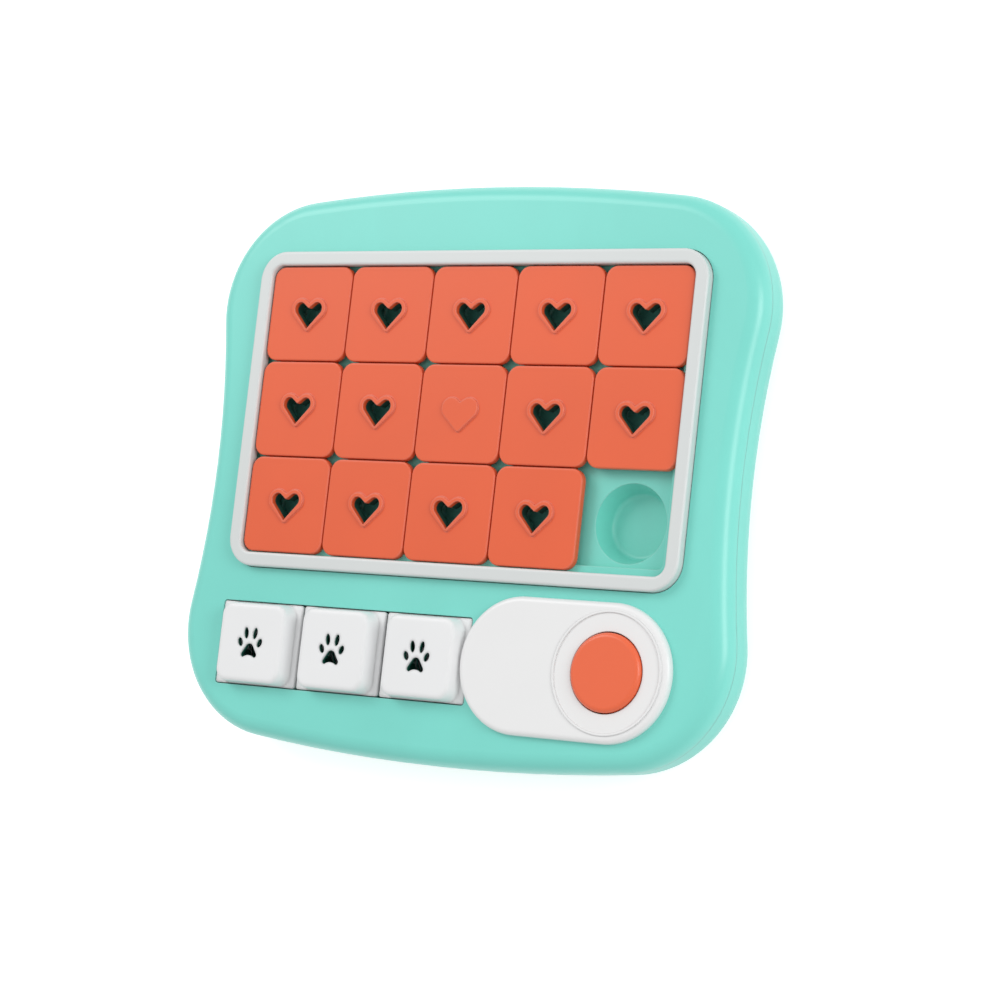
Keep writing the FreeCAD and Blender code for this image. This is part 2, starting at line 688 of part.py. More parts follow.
def make_tile(column, row):
    """One sliding tile: plate, stepped base, two tongues that run under its neighbours, and its heart."""
    body = new_body(f"tile_row{row}_col{column}")
    plate_bottom = TILE_BOTTOM + cell("tile_base")
    step = TILE_HALF - cell("ledge_width")
    sketch = new_sketch(body, TILE_BOTTOM)
    draw_rectangle(sketch, -TILE_HALF, step, -step, TILE_HALF, cell("tile_corner"))
    pad(body, sketch, cell("tile_base"))
    sketch = new_sketch(body, plate_bottom)
    draw_centred_rectangle(sketch, TILE_HALF, TILE_HALF, cell("tile_corner"))
    pad(body, sketch, cell("tile_plate"))
    top = plate_bottom + cell("tile_plate")
    round_edges(body, cell("tile_edge_round"), at_height(top))
    half = cell("tongue_length") / 2
    reach = TILE_HALF + cell("tongue_reach")
    root = TILE_HALF - cell("tongue_reach")
    corner = cell("tongue_reach") / 2
    for left, right, bottom, upper in ((-reach, -root, -half, half), (-half, half, root, reach)):
        sketch = new_sketch(body, TILE_BOTTOM)
        draw_rectangle(sketch, left, right, bottom, upper, corner)
        pad(body, sketch, cell("tile_base") - cell("tongue_drop"))
    sketch = new_sketch(body, top)
    draw_heart(sketch, ZERO, ZERO, ZERO)
    pad(body, sketch, cell("heart_rim_height"))
    round_edges(body, cell("heart_rim_height") / 3, at_height(top + cell("heart_rim_height")))
    if (column, row) != (3, 2):
        sketch = new_sketch(body, top + cell("heart_rim_height"))
        draw_heart(sketch, cell("heart_rim_width"), cell("heart_notch_drop"), cell("heart_tip_rise"))
        pocket(body, sketch, cell("tile_plate") + cell("tile_base") + cell("heart_rim_height") * 2)
    middle_column = (cell("tile_columns") + 1) / 2
    middle_row = (cell("tile_rows") + 1) / 2
    x = cell("tile_pitch") * (as_size(column) - middle_column)
    y = cell("grid_y") + cell("tile_pitch") * (middle_row - row)
    body.setExpression("Placement.Base.x", x.formula)
    body.setExpression("Placement.Base.y", y.formula)
    return body


# Press keys

def draw_paw(sketch):
    """A paw: four toes and a pad with two lobes and a notch at its foot."""
    up = FreeCAD.Vector(0, 0, 1)
    toes = [("outer", 1, -25), ("outer", -1, 25), ("inner", 1, -8), ("inner", -1, 8)]
    for kind, sign, lean in toes:
        x = cell(f"toe_{kind}_x") * sign
        y = cell(f"toe_{kind}_y")
        long_radius = cell(f"toe_{kind}_long")
        short_radius = cell(f"toe_{kind}_short")
        middle = FreeCAD.Vector(x.number, y.number, 0)
        angle = math.radians(90 + lean)
        tip = middle + FreeCAD.Vector(math.cos(angle), math.sin(angle), 0) * long_radius.number
        side = middle + FreeCAD.Vector(-math.sin(angle), math.cos(angle), 0) * short_radius.number
        sketch.addGeometry(Part.Ellipse(tip, side, middle), False)
    top_y, r_top = cell("pad_top_y").number - cell("pad_top_radius").number, cell("pad_top_radius").number
    lobe_x, lobe_y, r = (cell(name).number for name in ("pad_lobe_x", "pad_lobe_y", "pad_lobe_radius"))
    notch = cell("pad_notch_radius").number
    side = math.atan2(top_y - lobe_y, -lobe_x) - math.acos((r - r_top) / math.hypot(lobe_x, top_y - lobe_y))
    notch_y = lobe_y - math.sqrt((notch + r) ** 2 - lobe_x ** 2)
    foot = math.atan2(notch_y - lobe_y, -lobe_x)
    points = {
        "side_high": (r_top * math.cos(side), top_y + r_top * math.sin(side)),
        "side_low": (lobe_x + r * math.cos(side), lobe_y + r * math.sin(side)),
    }
    draw_arc(sketch, 0, top_y, r_top, side, math.pi - side)
    draw_line(sketch, points["side_low"], points["side_high"])
    draw_arc(sketch, lobe_x, lobe_y, r, foot, side)
    draw_arc(sketch, 0, notch_y, notch, foot + math.pi, 2 * math.pi - foot)
    draw_arc(sketch, -lobe_x, lobe_y, r, math.pi - side, math.pi - foot)
    draw_line(sketch, (-points["side_low"][0], points["side_low"][1]),
              (-points["side_high"][0], points["side_high"][1]))


def make_key(label, place):
    """One press key: hollow drafted cap on a flange, guide skirt, spring tube and paw-shaped hole."""
    body = new_body(label)
    corner = cell("key_corner")
    sketch = new_sketch(body, KEY_FLANGE_BOTTOM)
    draw_centred_rectangle(sketch, cell("key_flange_x") / 2, cell("key_flange_y") / 2, cell("key_flange_corner"))
    pad(body, sketch, cell("key_flange_thick"))
    low = new_sketch(body, KEY_FLANGE_TOP)
    draw_centred_rectangle(low, cell("key_foot_x") / 2, cell("key_foot_y") / 2, corner)
    high = new_sketch(body, cell("key_top_z"))
    draw_centred_rectangle(high, cell("key_face_x") / 2, cell("key_face_y") / 2, corner)
    loft(body, "AdditiveLoft", low, high)
    round_edges(body, cell("key_edge_round"), at_height(cell("key_top_z")))
    wall = cell("key_wall")
    ceiling = cell("key_top_z") - wall
    low = new_sketch(body, KEY_FLANGE_BOTTOM)
    draw_centred_rectangle(low, cell("key_foot_x") / 2 - wall, cell("key_foot_y") / 2 - wall, corner - wall / 2)
    high = new_sketch(body, ceiling)
    draw_centred_rectangle(high, cell("key_face_x") / 2 - wall, cell("key_face_y") / 2 - wall, corner - wall / 2)
    loft(body, "SubtractiveLoft", low, high)
    inset = cell("key_skirt_inset")
    sketch = new_sketch(body, KEY_FLANGE_BOTTOM - cell("key_skirt"))
    for depth in (inset, inset * 2):
        draw_centred_rectangle(sketch, cell("key_foot_x") / 2 + cell("key_wall") / 2 - depth + inset,
                               cell("key_flange_y") / 2 - depth, corner - depth / 2)
    pad(body, sketch, cell("key_skirt") + cell("key_flange_thick") / 2)
    sketch = new_sketch(body, cell("paw_tube_z"))
    draw_circle(sketch, ZERO, ZERO, cell("paw_tube_radius"))
    draw_circle(sketch, ZERO, ZERO, cell("paw_tube_bore"))
    pad(body, sketch, ceiling - cell("paw_tube_z") + wall / 2)
    sketch = new_sketch(body, cell("key_top_z"))
    draw_paw(sketch)
    pocket(body, sketch, wall * 2)
    x = cell("key_row_x") + cell("key_pitch") * place
    body.setExpression("Placement.Base.x", x.formula)
    body.setExpression("Placement.Base.y", cell("key_row_y").formula)
    return body


def make_key_well():
    """Tub under the keys: two clamped flanges, ribs between the keys and a collar for each spring."""
    body = new_body("key_well")
    row_x, row_y = cell("key_row_x"), cell("key_row_y")
    wall = cell("well_wall")
    floor = cell("well_floor_z")
    sketch = new_sketch(body, floor - wall)
    draw_centred_rectangle(sketch, KEYS_HALF_X + wall, KEYS_HALF_Y + wall, cell("well_corner"), row_x, row_y)
    pad(body, sketch, FLANGE_TOP - floor + wall)
    sketch = new_sketch(body, FLANGE_BOTTOM)
    half_y = KEYS_HALF_Y + cell("well_flange_width")
    draw_rectangle(sketch, cell("well_flange_left"), cell("well_flange_right"), row_y - half_y, row_y + half_y,
                   cell("well_corner"))
    pad(body, sketch, cell("flange_thick"))
    sketch = new_sketch(body, FLANGE_TOP)
    draw_centred_rectangle(sketch, KEYS_HALF_X, KEYS_HALF_Y, cell("key_flange_corner"), row_x, row_y)
    pocket(body, sketch, FLANGE_TOP - floor)
    sketch = new_sketch(body, floor - wall / 2)
    for sign in (-1, 1):
        draw_centred_rectangle(sketch, cell("well_rib") / 2, KEYS_HALF_Y + wall / 2, cell("well_rib") / 4,
                               row_x + cell("key_pitch") / 2 * sign, row_y)
    pad(body, sketch, cell("well_rib_z") - floor + wall / 2)
    sketch = new_sketch(body, floor - wall / 2)
    for place in (-1, 0, 1):
        x = row_x + cell("key_pitch") * place
        draw_circle(sketch, x, row_y, cell("collar_radius"))
        draw_circle(sketch, x, row_y, cell("collar_bore"))
    pad(body, sketch, cell("collar_height") + wall / 2)
    sketch = new_sketch(body, FLANGE_BOTTOM)
    for x, y in clamp_places():
        if abs(y.number - row_y.number) < half_y.number:
            draw_circle(sketch, x, y, cell("clamp_radius") + cell("clamp_gap"))
    pocket(body, sketch, cell("flange_thick"), upwards=True)
    return body


def coil_point(turn_share, pitch):
    """A point of the coil's centre line and its direction, after a share of turns."""
    radius = cell("spring_radius").number
    angle = turn_share * 2 * math.pi
    point = FreeCAD.Vector(radius * math.cos(angle), radius * math.sin(angle), pitch * turn_share)
    ahead = FreeCAD.Vector(-radius * math.sin(angle), radius * math.cos(angle), pitch / (2 * math.pi))
    return point, ahead.normalize()


def corner_arc(first, corner, last):
    """The arc that leaves the first point towards the corner and arrives at the last point from it."""
    middle = (first + last) * 0.5
    leg = corner - first
    half_turn = leg.getAngle(last - corner) / 2
    share = math.cos(half_turn) / (1 + math.cos(half_turn))
    return Part.Arc(first, middle + (corner - middle) * share, last).toShape()


def make_spring(label, place):
    """A coil spring between the floor of the key well and the tube inside its key."""
    wire = cell("spring_wire").number
    low = cell("well_floor_z").number + wire / 2 + cell("spring_seat").number
    high = cell("paw_tube_z").number - wire / 2 - cell("spring_seat").number
    turns = int(cell("spring_turns").number)
    pitch = (high - low) / turns
    edges = []
    steps = turns * 4
    for step in range(steps):
        first, first_way = coil_point(step / 4, pitch)
        last, last_way = coil_point((step + 1) / 4, pitch)
        gap = last - first
        ways = first_way + last_way
        a = ways.dot(ways) - 4
        b = -2 * gap.dot(ways)
        c = gap.dot(gap)
        leg = (-b - math.sqrt(b * b - 4 * a * c)) / (2 * a)
        near_first = first + first_way * leg
        near_last = last - last_way * leg
        join = (near_first + near_last) * 0.5
        edges += [corner_arc(first, near_first, join), corner_arc(join, near_last, last)]
    path = Part.Wire(edges)
    start, way = coil_point(0, pitch)
    ring = Part.Wire([Part.Circle(start, way, wire / 2).toShape()])
    shell = Part.BRepOffsetAPI.MakePipeShell(path)
    shell.add(ring)
    shell.build()
    shell.makeSolid()
    spring = document.addObject("Part::Feature", label)
    spring.Label = label
    spring.Shape = shell.shape()
    x = cell("key_row_x") + cell("key_pitch") * place
    spring.Placement.Base = FreeCAD.Vector(x.number, cell("key_row_y").number, low)
    return spring


# Plate, button and squeaker

def make_button_plate():
    """Rounded plate on the deck round the squeaker button, with a thin ring and two pegs."""
    body = new_body("button_plate")
    right, y = cell("plate_right_x"), cell("plate_y")
    sketch = new_sketch(body, cell("deck_z"))
    draw_stadium(sketch, cell("plate_left_x"), right, y, cell("plate_radius"))
    pad(body, sketch, cell("plate_top_z") - cell("deck_z"))
    round_edges(body, cell("plate_edge_round"), at_height(cell("plate_top_z")))
    sketch = new_sketch(body, cell("plate_top_z"))
    draw_circle(sketch, right, y, cell("ring_radius"))
    draw_circle(sketch, right, y, cell("ring_radius") - cell("ring_width"))
    pad(body, sketch, cell("ring_height"))
    sketch = new_sketch(body, cell("deck_z") - cell("peg_length"))
    for x, peg_y in peg_places():
        draw_circle(sketch, x, peg_y, cell("peg_radius"))
    pad(body, sketch, cell("peg_length"))
    sketch = new_sketch(body, cell("plate_top_z") + cell("ring_height"))
    draw_circle(sketch, right, y, cell("button_radius") + cell("button_gap"))
    pocket(body, sketch, cell("plate_top_z") - cell("deck_z") + cell("ring_height") * 2)
    return body


def make_squeaker_button():
    """Round cap, hollow underneath, with a flange that the deck keeps in."""
    body = new_body("squeaker_button")
    flange_bottom = BUTTON_FLANGE_TOP - cell("button_flange_thick")
    sketch = new_sketch(body, flange_bottom)
    draw_circle(sketch, ZERO, ZERO, cell("button_radius"))
    pad(body, sketch, cell("button_top_z") - flange_bottom)
    round_edges(body, cell("button_round"), at_height(cell("button_top_z")))
    sketch = new_sketch(body, flange_bottom)
    draw_circle(sketch, ZERO, ZERO, cell("button_flange_radius"))
    pad(body, sketch, cell("button_flange_thick"))
    sketch = new_sketch(body, flange_bottom)
    draw_circle(sketch, ZERO, ZERO, cell("button_radius") - cell("button_wall"))
    pocket(body, sketch, cell("button_top_z") - cell("button_wall") - flange_bottom, upwards=True)
    body.setExpression("Placement.Base.x", "Sizes.plate_right_x")
    body.setExpression("Placement.Base.y", "Sizes.plate_y")
    return body


def make_squeaker_bellows():
    """Soft hollow bellows of rounded folds, from the socket in the back shell up into the button."""
    outer = cell("bellows_radius").number
    fold = cell("bellows_fold").number
    wall = cell("bellows_wall").number
    neck = cell("reed_radius").number + cell("bellows_gap").number
    low = SHELL_FLOOR.number + cell("bellows_gap").number
    high = cell("button_top_z").number - cell("button_wall").number - cell("bellows_gap").number
    folds = int(cell("bellows_folds").number)
    step = (high - low) / folds

    def side(inset):
        edges = []
        for number in range(folds):
            bottom = FreeCAD.Vector(outer - fold - inset, 0, low + step * number)
            crest = FreeCAD.Vector(outer - inset, 0, low + step * (number + 0.5))
            upper = FreeCAD.Vector(outer - fold - inset, 0, low + step * (number + 1))
            edges.append(Part.Arc(bottom, crest, upper).toShape())
        return edges

    def closed(edges, inner_radius, bottom, top):
        first = edges[0].Vertexes[0].Point
        last = edges[-1].Vertexes[-1].Point
        loop = [FreeCAD.Vector(last.x, 0, top), FreeCAD.Vector(inner_radius, 0, top),
                FreeCAD.Vector(inner_radius, 0, bottom), FreeCAD.Vector(first.x, 0, bottom)]
        ring = [last] + [point for point in loop if point.distanceToPoint(last) > 1e-6]
        if ring[-1].distanceToPoint(first) > 1e-6:
            ring.append(first)
        lines = [Part.LineSegment(one, two).toShape() for one, two in zip(ring, ring[1:])]
        face = Part.Face(Part.Wire(edges + lines))
        return face.revolve(FreeCAD.Vector(0, 0, 0), FreeCAD.Vector(0, 0, 1), 360)

    skin = closed(side(0), 0, low, high)
    air = closed(side(wall), 0, low, high)
    room = Part.makeCylinder(outer, high - low - 2 * wall, FreeCAD.Vector(0, 0, low + wall))
    hole = Part.makeCylinder(neck, wall * 2, FreeCAD.Vector(0, 0, low - wall / 2))
    bellows = document.addObject("Part::Feature", "squeaker_bellows")
    bellows.Label = "squeaker_bellows"
    bellows.Shape = skin.cut(air.common(room)).cut(hole)
    bellows.Placement.Base = FreeCAD.Vector(cell("plate_right_x").number, cell("plate_y").number, 0)
    return bellows


def make_squeaker_reed():
    """Small whistle in the neck of the bellows."""
    body = new_body("squeaker_reed")
    sketch = new_sketch(body, SHELL_FLOOR)
    draw_circle(sketch, ZERO, ZERO, cell("reed_radius"))
    draw_circle(sketch, ZERO, ZERO, cell("reed_bore"))
    pad(body, sketch, cell("reed_height"))
    body.setExpression("Placement.Base.x", "Sizes.plate_right_x")
    body.setExpression("Placement.Base.y", "Sizes.plate_y")
    return body


# Feet and screws

def make_foot(label, x, y):
    """A round rubber foot in its recess, its lower edge rounded."""
    body = new_body(label)
    sketch = new_sketch(body, ZERO)
    draw_circle(sketch, ZERO, ZERO, cell("foot_radius"))
    pad(body, sketch, cell("base_z") + cell("foot_recess"))
    round_edges(body, cell("foot_round"), at_height(ZERO))
    body.setExpression("Placement.Base.x", x.formula)
    body.setExpression("Placement.Base.y", y.formula)
    return body


def make_screws(label, places, head_top, sizes):
    """A group of like screws that point up, each a head and a shank."""
    shank_radius, shank_length, head_radius, head_height = sizes
    screws = []
    for number, (x, y) in enumerate(places, start=1):
        parts = []
        for kind, radius, length, bottom in (("head", head_radius, head_height, head_top - head_height),
                                             ("shank", shank_radius, shank_length, head_top)):
            cylinder = document.addObject("Part::Cylinder", f"{label}_{kind}_{number}")
            cylinder.setExpression("Radius", radius.formula)
            cylinder.setExpression("Height", length.formula)
            cylinder.setExpression("Placement.Base.x", x.formula)
            cylinder.setExpression("Placement.Base.y", y.formula)
            cylinder.setExpression("Placement.Base.z", bottom.formula)
            parts.append(cylinder)
        screw = document.addObject("Part::MultiFuse", f"{label}_{number}")
        screw.Shapes = parts
        screws.append(screw)
    group = document.addObject("Part::Compound", label)
    group.Label = label
    group.Links = screws
    return group


def build():
    """Make every piece and return them in order."""
    pieces = [make_front_shell(), make_back_shell(), make_grid_frame(), make_cup_tray()]
    columns = int(cell("tile_columns").number)
    rows = int(cell("tile_rows").number)
    for row in range(1, rows + 1):
        for column in range(1, columns + 1):
            if (column, row) != (columns, rows):
                pieces.append(make_tile(column, row))
    for place, side in ((-1, "left"), (0, "middle"), (1, "right")):
        pieces.append(make_key(f"key_{side}", place))
        pieces.append(make_spring(f"key_spring_{side}", place))
    pieces += [make_key_well(), make_button_plate(), make_squeaker_button(), make_squeaker_bellows(),
               make_squeaker_reed()]
    for (x, y), name in zip(foot_places(), ("front_left", "front_right", "rear_left", "rear_right")):
        pieces.append(make_foot(f"foot_{name}", x, y))
    shell_sizes = tuple(cell("screw_" + name) for name in ("radius", "length", "head_radius", "head_height"))
    pieces.append(make_screws("shell_screws", post_places(), cell("base_z") + cell("head_room_depth"), shell_sizes))
    clamp_sizes = (cell("clamp_screw_radius"), cell("clamp_screw_length"), cell("clamp_head_radius"),
                   cell("clamp_head_height"))
    pieces.append(make_screws("tray_screws", clamp_places(), FLANGE_BOTTOM, clamp_sizes))
    return pieces


def check_and_write(pieces):
    """See that every object and piece is sound, then write each piece to its own file."""
    document.recompute()
    failed = [item.Label for item in document.Objects if {"Invalid", "Error"} & set(item.State)]
    failed += [piece.Label for piece in pieces if piece.Shape.isNull() or not piece.Shape.isValid()]
    if failed:
        raise RuntimeError("these objects failed: " + ", ".join(failed))
    os.makedirs("parts", exist_ok=True)
    for piece in pieces:
        piece.Shape.exportStep(f"parts/{piece.Label}.step")


check_and_write(build())
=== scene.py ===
import math

import bpy
from mathutils import Matrix, Vector


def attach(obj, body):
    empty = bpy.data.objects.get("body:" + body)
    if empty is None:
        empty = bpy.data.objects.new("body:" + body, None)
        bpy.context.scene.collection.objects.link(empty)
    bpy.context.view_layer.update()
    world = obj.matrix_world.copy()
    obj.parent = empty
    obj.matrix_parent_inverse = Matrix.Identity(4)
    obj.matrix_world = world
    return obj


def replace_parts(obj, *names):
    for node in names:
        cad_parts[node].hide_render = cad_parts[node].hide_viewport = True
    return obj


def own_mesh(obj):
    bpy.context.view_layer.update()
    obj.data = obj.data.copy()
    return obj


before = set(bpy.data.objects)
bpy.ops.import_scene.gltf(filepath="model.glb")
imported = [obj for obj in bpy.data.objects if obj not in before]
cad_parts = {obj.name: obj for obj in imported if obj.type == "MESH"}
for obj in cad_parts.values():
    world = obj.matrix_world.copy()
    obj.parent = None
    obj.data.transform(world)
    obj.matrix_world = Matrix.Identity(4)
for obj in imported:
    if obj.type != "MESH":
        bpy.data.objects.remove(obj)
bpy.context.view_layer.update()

# Back shell: the lower half of the body, a tub moulded in mint plastic.
# Its edge curves in under the seam, and seven screws hold it to the front shell.
MINT = (0.196, 0.680, 0.592, 1.0)
WHITE = (1.0, 1.0, 1.0, 1.0)
# A thin line of painted shade runs along both shells where they meet, for the shade in the groove between
# them.
SEAM_SHADE_GREEN = (0.03, 0.20, 0.17, 1.0)
SEAM_HEIGHT = 0.020
SEAM_HALF = 0.0005
SEAM_CORE_HALF = 0.0002
SEAM_SHADE_STRENGTH = 0.25
GLOSS_SWING = 0.12


def new_group(name, inputs, outputs):
    """An empty shader group with named sockets: inputs as (name, kind, value), outputs as (name, kind)."""
    group = bpy.data.node_groups.new(name, "ShaderNodeTree")
    for label, kind, value in inputs:
        socket = group.interface.new_socket(name=label, in_out="INPUT", socket_type="NodeSocket" + kind)
        socket.default_value = value
    for label, kind in outputs:
        group.interface.new_socket(name=label, in_out="OUTPUT", socket_type="NodeSocket" + kind)
    return group, group.nodes.new("NodeGroupInput"), group.nodes.new("NodeGroupOutput")


def add_node(tree, kind, values=(), **settings):
    """A node with its settings, and its input values by socket name or number."""
    node = tree.nodes.new("ShaderNode" + kind)
    for key, value in settings.items():
        setattr(node, key, value)
    for key, value in dict(values).items():
        node.inputs[key].default_value = value
    return node


def work_out(tree, operation, *terms):
    """The result of a Math node on terms that are sockets or plain numbers."""
    node = add_node(tree, "Math", operation=operation)
    for socket, term in zip(node.inputs, terms):
        if isinstance(term, float):
            socket.default_value = term
        else:
            tree.links.new(term, socket)
    return node.outputs[0]


def fade(tree, value, start, end, first=0.0, last=1.0):
    """A ramp over a value: first where the value is at its start, last where it is at its end."""
    ramp = add_node(tree, "MapRange", {"From Min": start, "From Max": end, "To Min": first, "To Max": last})
    tree.links.new(value, ramp.inputs["Value"])
    return ramp.outputs["Result"]


def blend(tree, mask, under, over):
    """A plain colour laid over the colour of a socket, as far as a mask says."""
    # This node's sockets share their names, so those for colours are found by number.
    mask_input, under_input, over_input, colour_output = 0, 6, 7, 2
    mix = add_node(tree, "Mix", {over_input: over}, data_type="RGBA")
    tree.links.new(mask, mix.inputs[mask_input])
    tree.links.new(under, mix.inputs[under_input])
    return mix.outputs[colour_output]


def moulded_skin():
    """Skin of a moulded piece: faint flow mottle, uneven gloss, fine grain, and edges painted paler, partly
    as handling wear and partly as a painted highlight.
    """
    group, given, result = new_group(
        "moulded_skin",
        [("Colour", "Color", (0.8, 0.8, 0.8, 1.0)), ("Mottle", "Float", 0.04), ("Roughness", "Float", 0.35),
         ("Grain", "Float", 900.0), ("Edge", "Float", 0.25), ("Edge size", "Float", 0.0006)],
        [("Colour", "Color"), ("Roughness", "Float"), ("Height", "Float"), ("Normal", "Vector")])
    link = group.links.new
    place = add_node(group, "TexCoord").outputs["Object"]
    flow = add_node(group, "TexNoise", {"Scale": 14.0, "Detail": 4.0, "Roughness": 0.55, "Distortion": 0.6})
    link(place, flow.inputs["Vector"])
    grain = add_node(group, "TexNoise", {"Detail": 2.0})
    link(place, grain.inputs["Vector"])
    link(given.outputs["Grain"], grain.inputs["Scale"])
    streaks = fade(group, flow.outputs["Fac"], start=0.3, end=0.7, first=-1.0, last=1.0)
    mottle = work_out(group, "MULTIPLY", streaks, given.outputs["Mottle"])
    tint = add_node(group, "HueSaturation")
    link(given.outputs["Colour"], tint.inputs["Color"])
    link(work_out(group, "ADD", mottle, 1.0), tint.inputs["Value"])
    bevel = add_node(group, "Bevel", samples=4)
    link(given.outputs["Edge size"], bevel.inputs["Radius"])
    facing = add_node(group, "VectorMath", operation="DOT_PRODUCT")
    link(bevel.outputs["Normal"], facing.inputs[0])
    link(add_node(group, "NewGeometry").outputs["Normal"], facing.inputs[1])
    # Edges are painted paler towards white: partly handling wear, partly a painted highlight along the
    # bevels.
    edge = fade(group, facing.outputs["Value"], start=0.995, end=0.9)
    wear_and_highlight = work_out(group, "MULTIPLY", edge, given.outputs["Edge"])
    uneven = work_out(group, "MULTIPLY_ADD", flow.outputs["Fac"], GLOSS_SWING, -GLOSS_SWING / 2)
    link(blend(group, wear_and_highlight, tint.outputs["Color"], WHITE), result.inputs["Colour"])
    link(work_out(group, "ADD", given.outputs["Roughness"], uneven), result.inputs["Roughness"])
    link(grain.outputs["Fac"], result.inputs["Height"])
    link(bevel.outputs["Normal"], result.inputs["Normal"])
    return group


SKIN = moulded_skin()


def plastic(name, colour, roughness, mottle=0.03, grain=900.0, edge=0.15, soft=0.0006, coat=0.12,
            relief=0.02):
    """A satin moulded material of its own, dressed by the moulded skin."""
    material = bpy.data.materials.new(name)
    material.use_nodes = True
    tree = material.node_tree
    shader = tree.nodes["Principled BSDF"]
    skin = tree.nodes.new("ShaderNodeGroup")
    skin.node_tree = SKIN
    for key, value in (("Colour", colour), ("Mottle", mottle), ("Roughness", roughness),
                       ("Grain", grain), ("Edge", edge), ("Edge size", soft)):
        skin.inputs[key].default_value = value
    bump = add_node(tree, "Bump", {"Strength": relief, "Distance": 0.0002})
    tree.links.new(skin.outputs["Colour"], shader.inputs["Base Color"])
    tree.links.new(skin.outputs["Roughness"], shader.inputs["Roughness"])
    tree.links.new(skin.outputs["Height"], bump.inputs["Height"])
    tree.links.new(skin.outputs["Normal"], bump.inputs["Normal"])
    tree.links.new(bump.outputs["Normal"], shader.inputs["Normal"])
    shader.inputs["IOR"].default_value = 1.49
    shader.inputs["Coat Weight"].default_value = coat
    shader.inputs["Coat Roughness"].default_value = 0.25
    return material


def axis_places(tree):
    """The sockets X, Y and Z of the place on a piece."""
    axes = add_node(tree, "SeparateXYZ")
    tree.links.new(add_node(tree, "TexCoord").outputs["Object"], axes.inputs[0])
    return axes.outputs


def paint_over(material, mask, colour):
    """Lay a plain colour over the colour that a material has, as far as a mask says."""
    tree = material.node_tree
    base = tree.nodes["Principled BSDF"].inputs["Base Color"]
    own = base.links[0].from_socket
    tree.links.new(blend(tree, mask, own, colour), base)


def shell_mint(name):
    """Mint plastic of one shell, with a fine line of painted shade where the two shells meet."""
    material = plastic(name, colour=MINT, roughness=0.34)
    tree = material.node_tree
    apart = work_out(tree, "SUBTRACT", axis_places(tree)["Z"], SEAM_HEIGHT)
    away = work_out(tree, "ABSOLUTE", apart)
    line = fade(tree, away, start=SEAM_CORE_HALF, end=SEAM_HALF, first=SEAM_SHADE_STRENGTH, last=0.0)
    paint_over(material, line, SEAM_SHADE_GREEN)
    return material


def dress(node, material):
    """Give every slot of a node its material."""
    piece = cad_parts[node]
    for slot in piece.material_slots:
        slot.material = material
    return piece


dress("back_shell", shell_mint("mint_back_plastic"))

# Feet: four soft round pads of pale matt rubber, pressed into recesses of the back.
# They keep the toy from sliding while the dog works at it.
foot_rubber = plastic(
    "foot_rubber", colour=(0.70, 0.72, 0.71, 1.0), roughness=0.62,
    mottle=0.05, grain=500.0, coat=0.0, relief=0.15)
for foot in ("foot_front_left", "foot_front_right", "foot_rear_left", "foot_rear_right"):
    dress(foot, foot_rubber)

# Screws: zinc-plated steel, seven long ones in the back and twelve small ones
# that clamp the flanges of the tray and of the key well to the deck.
steel = plastic(
    "zinc_steel", colour=(0.52, 0.53, 0.55, 1.0), roughness=0.3,
    mottle=0.08, grain=2500.0, coat=0.0)
steel.node_tree.nodes["Principled BSDF"].inputs["Metallic"].default_value = 1.0
dress("shell_screws", steel)
dress("tray_screws", steel)

# Front shell: the deck and the rounded edge, moulded in the same mint plastic.
# The deck is open for the grid, the key row and the squeaker button.
dress("front_shell", shell_mint("mint_front_plastic"))

# Cup tray: mint moulding under the tiles, with a round treat cup at each place.
# It is screwed up against the deck, and only the empty place shows a cup open.
# Its mint is a darker copy of the shells' mint: painted shade for the recessed tray and key well.
mint_tray_in_painted_shade = plastic("mint_tray_plastic", colour=(0.175, 0.640, 0.545, 1.0), roughness=0.40)
dress("cup_tray", mint_tray_in_painted_shade)

# Grid frame: raised white plastic ring round the tiles, its edges bevelled.
# It sits on the tray in the deck's opening and keeps the tiles' tongues down.
# Its strong edge setting paints the bevels paler: partly wear, partly a painted highlight.
frame_white = plastic(
    "frame_white_plastic", colour=(0.64, 0.665, 0.66, 1.0), roughness=0.36,
    mottle=0.012, edge=0.5, soft=0.0009)
dress("grid_frame", frame_white)

# Tiles: fourteen sliding tiles moulded in orange plastic, with a raised rim round a heart-shaped hole.
# The one in the middle of the grid has a solid raised heart instead.
TILE_PITCH = 0.040
GRID_MIDDLE = (0.0, 0.0229)
HEART_REACH = (0.0085, 0.0085)
HEART_SHADE_TOP = 0.0289
HEART_SHADE = (0.018, 0.085, 0.064, 1.0)
SHADE_FADE = 0.0005


def shade_holes(material, middle, pitch, reach, top, colour):
    """Sink the walls of holes into shade below a height; the holes repeat along X and Y at a pitch."""
    tree = material.node_tree
    places = axis_places(tree)
    mask = fade(tree, places["Z"], start=top, end=top - SHADE_FADE)
    for axis, centre, half in zip("XY", middle, reach):
        moved = work_out(tree, "ADD", places[axis], pitch / 2 - centre)
        repeated = work_out(tree, "FLOORED_MODULO", moved, pitch)
        apart = work_out(tree, "SUBTRACT", repeated, pitch / 2)
        inside = work_out(tree, "LESS_THAN", work_out(tree, "ABSOLUTE", apart), half)
        mask = work_out(tree, "MULTIPLY", mask, inside)
    paint_over(material, mask, colour)


tile_orange = plastic(
    "tile_orange_plastic", colour=(0.760, 0.108, 0.030, 1.0), roughness=0.42,
    soft=0.0008, coat=0.05)
shade_holes(tile_orange, GRID_MIDDLE, TILE_PITCH, HEART_REACH, HEART_SHADE_TOP, HEART_SHADE)
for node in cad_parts:
    if node.startswith("tile_"):
        dress(node, tile_orange)

